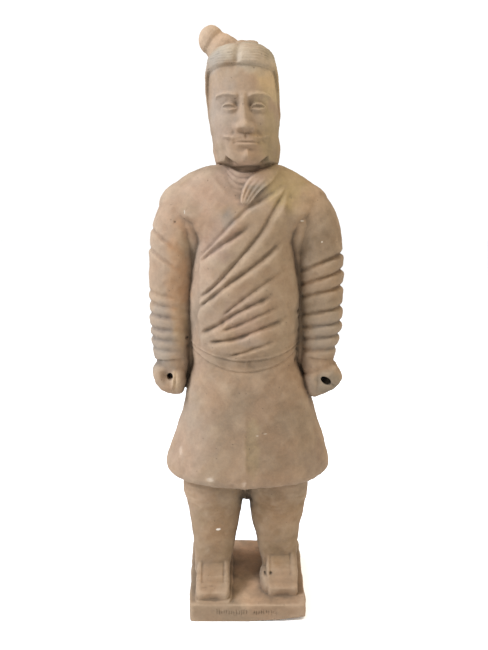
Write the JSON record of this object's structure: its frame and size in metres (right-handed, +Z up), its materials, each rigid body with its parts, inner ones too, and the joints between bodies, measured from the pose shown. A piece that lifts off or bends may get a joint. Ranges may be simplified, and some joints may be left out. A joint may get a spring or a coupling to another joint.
{
  "type": "terracotta warrior statue",
  "caption": "Standing terracotta warrior in a belted, folded robe with a topknot, arms at its sides with pierced fists, on a low square plinth cast with it.",
  "frame": {"origin": "centre of the plinth's underside", "axes": "+Z up, the figure faces -Y, its left arm is at +X"},
  "size_m": [0.4076, 0.24, 1.2017],
  "materials": {
    "terracotta": "dry unglazed fired clay, pinkish brown, dusty and dirt-stained in the creases"
  },
  "bodies": {
    "root": {"warrior_statue": "terracotta"}
  },
  "joints": []
}
